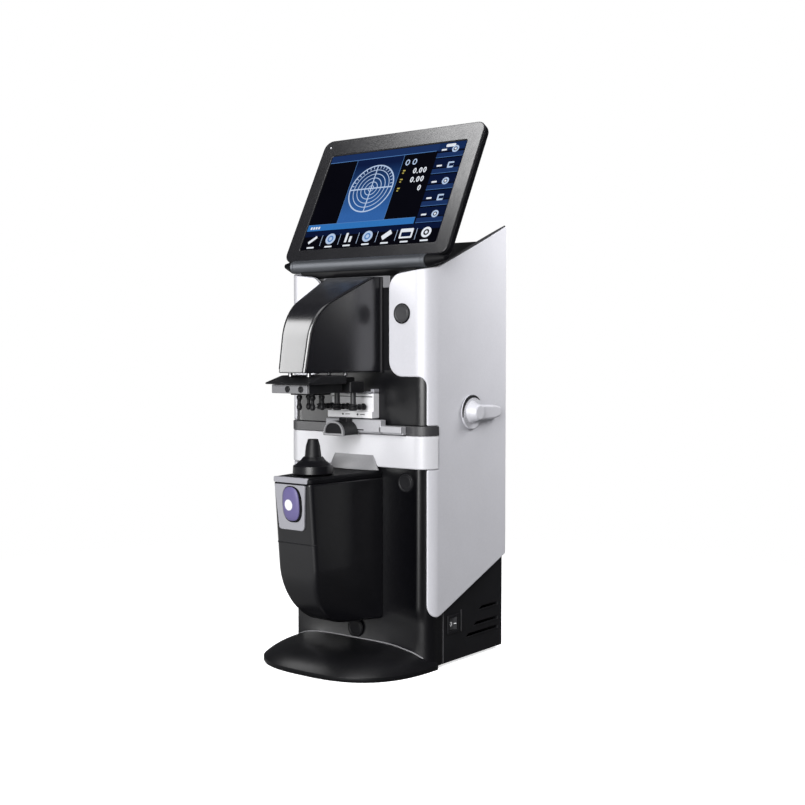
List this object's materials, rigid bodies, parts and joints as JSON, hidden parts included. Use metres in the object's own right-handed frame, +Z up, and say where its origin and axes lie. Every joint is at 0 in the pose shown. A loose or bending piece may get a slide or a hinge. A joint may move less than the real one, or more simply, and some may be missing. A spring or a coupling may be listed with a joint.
{
  "type": "lensmeter",
  "caption": "Desk-top digital lensmeter: a tower with a tilting screen, measuring head, lens stop, sprung lens holder, ink marker, lens table with side lever, and memory button.",
  "frame": {"origin": "on the desk, under the middle of the whole machine's box", "axes": "+Z up, +X to the right of someone who faces the screen, +Y from the user to the machine's back"},
  "size_m": [0.198, 0.221, 0.5055],
  "materials": {
    "silver_paint": "satin silver paint on moulded plastic",
    "white_paint": "satin white paint on moulded plastic",
    "black_gloss": "polished black",
    "black_matte": "fine moulded texture",
    "dark_grey": "satin",
    "light_grey": "satin",
    "barrel_grey": "painted, satin",
    "aluminium": "bare, sheet or turned",
    "steel": "ground",
    "brass": "turned",
    "rubber": "matte",
    "button_purple": "satin",
    "screen": "glossy display",
    "circuit_board": "solder mask",
    "optical_glass": "coated"
  },
  "bodies": {
    "tower": {"base_plate": "steel", "front_foot": "black_gloss", "rubber_foot_left": "rubber", "rubber_foot_right": "rubber", "base_housing": "black_matte", "lower_front_panel": "black_gloss", "upper_front_panel": "black_gloss", "left_side_shell": "silver_paint", "right_side_shell": "silver_paint", "rear_cover": "silver_paint", "top_cover": "black_gloss", "hinge_saddle": "black_gloss", "hinge_barrel": "barrel_grey", "shelf_collar": "white_paint", "shelf_liner": "black_matte", "screw_cap_upper_right": "dark_grey", "screw_cap_upper_left": "dark_grey", "screw_cap_lower_right": "dark_grey", "screw_cap_lower_left": "dark_grey", "screw_cap_bottom": "dark_grey", "head_cover": "black_gloss", "head_floor": "black_matte", "lamp_tube": "aluminium", "collimator_lens": "optical_glass", "pod_shell": "black_gloss", "pod_cap": "black_gloss", "pod_ramp": "dark_grey", "nosepiece_collar": "black_matte", "nosepiece": "black_matte", "nosepiece_window": "optical_glass", "imaging_tube": "black_matte", "sensor_board": "circuit_board", "button_plate": "light_grey", "main_board": "circuit_board", "power_supply": "aluminium", "power_inlet": "black_matte", "switch_frame": "black_matte", "guide_block": "black_matte", "lever_bush": "brass", "ink_pad_box": "white_paint"},
    "display": {"display_back": "black_matte", "display_bezel": "black_gloss", "display_screen": "screen", "hinge_shaft": "steel"},
    "table": {"lens_table": "white_paint", "table_rack": "steel", "table_rod": "steel"},
    "slider": {"nosepad_slider": "light_grey"},
    "lever": {"pinion_shaft": "steel", "lever_dial": "silver_paint", "table_lever": "silver_paint"},
    "holder": {"holder_carriage": "dark_grey", "holder_bar": "light_grey", "holder_pins": "black_matte"},
    "marker": {"marker_block": "dark_grey", "marker_pin_left": "black_matte", "marker_pin_middle": "black_matte", "marker_pin_right": "black_matte"},
    "button": {"memory_button": "button_purple"},
    "rocker": {"switch_rocker": "black_matte"}
  },
  "joints": [
    {"name": "display_tilt", "type": "hinge", "parent": "tower", "child": "display", "pos_m": [0, -0.0124, 0.3732], "axis": [1, 0, 0], "range_deg": [-18, 25]},
    {"name": "lever_turn", "type": "hinge", "parent": "tower", "child": "lever", "pos_m": [0.086, 0.0495, 0.2345], "axis": [-1, 0, 0], "range_deg": [0, 73]},
    {"name": "table_slide", "type": "slide", "parent": "tower", "child": "table", "axis": [0, -1, 0], "range_m": [0, 0.014]},
    {"name": "nosepad_slide", "type": "slide", "parent": "table", "child": "slider", "axis": [1, 0, 0], "range_m": [-0.015, 0.045]},
    {"name": "holder_press", "type": "slide", "parent": "tower", "child": "holder", "axis": [0, 0, -1], "range_m": [0, 0.024], "stiffness_N_per_m": 60, "springref_m": -0.03},
    {"name": "marker_press", "type": "slide", "parent": "tower", "child": "marker", "axis": [0, 0, -1], "range_m": [0, 0.007], "stiffness_N_per_m": 200, "springref_m": -0.008},
    {"name": "memory_press", "type": "slide", "parent": "tower", "child": "button", "axis": [0, 1, 0], "range_m": [0, 0.0018], "stiffness_N_per_m": 800, "springref_m": -0.001},
    {"name": "power_rock", "type": "hinge", "parent": "tower", "child": "rocker", "pos_m": [0.0802, 0.02555, 0.03775], "axis": [0, 0, 1], "range_deg": [0, 20]}
  ],
  "couplings": [
    {"joint": "lever_turn", "follows": "table_slide", "rad_per_m": 90.909}
  ]
}
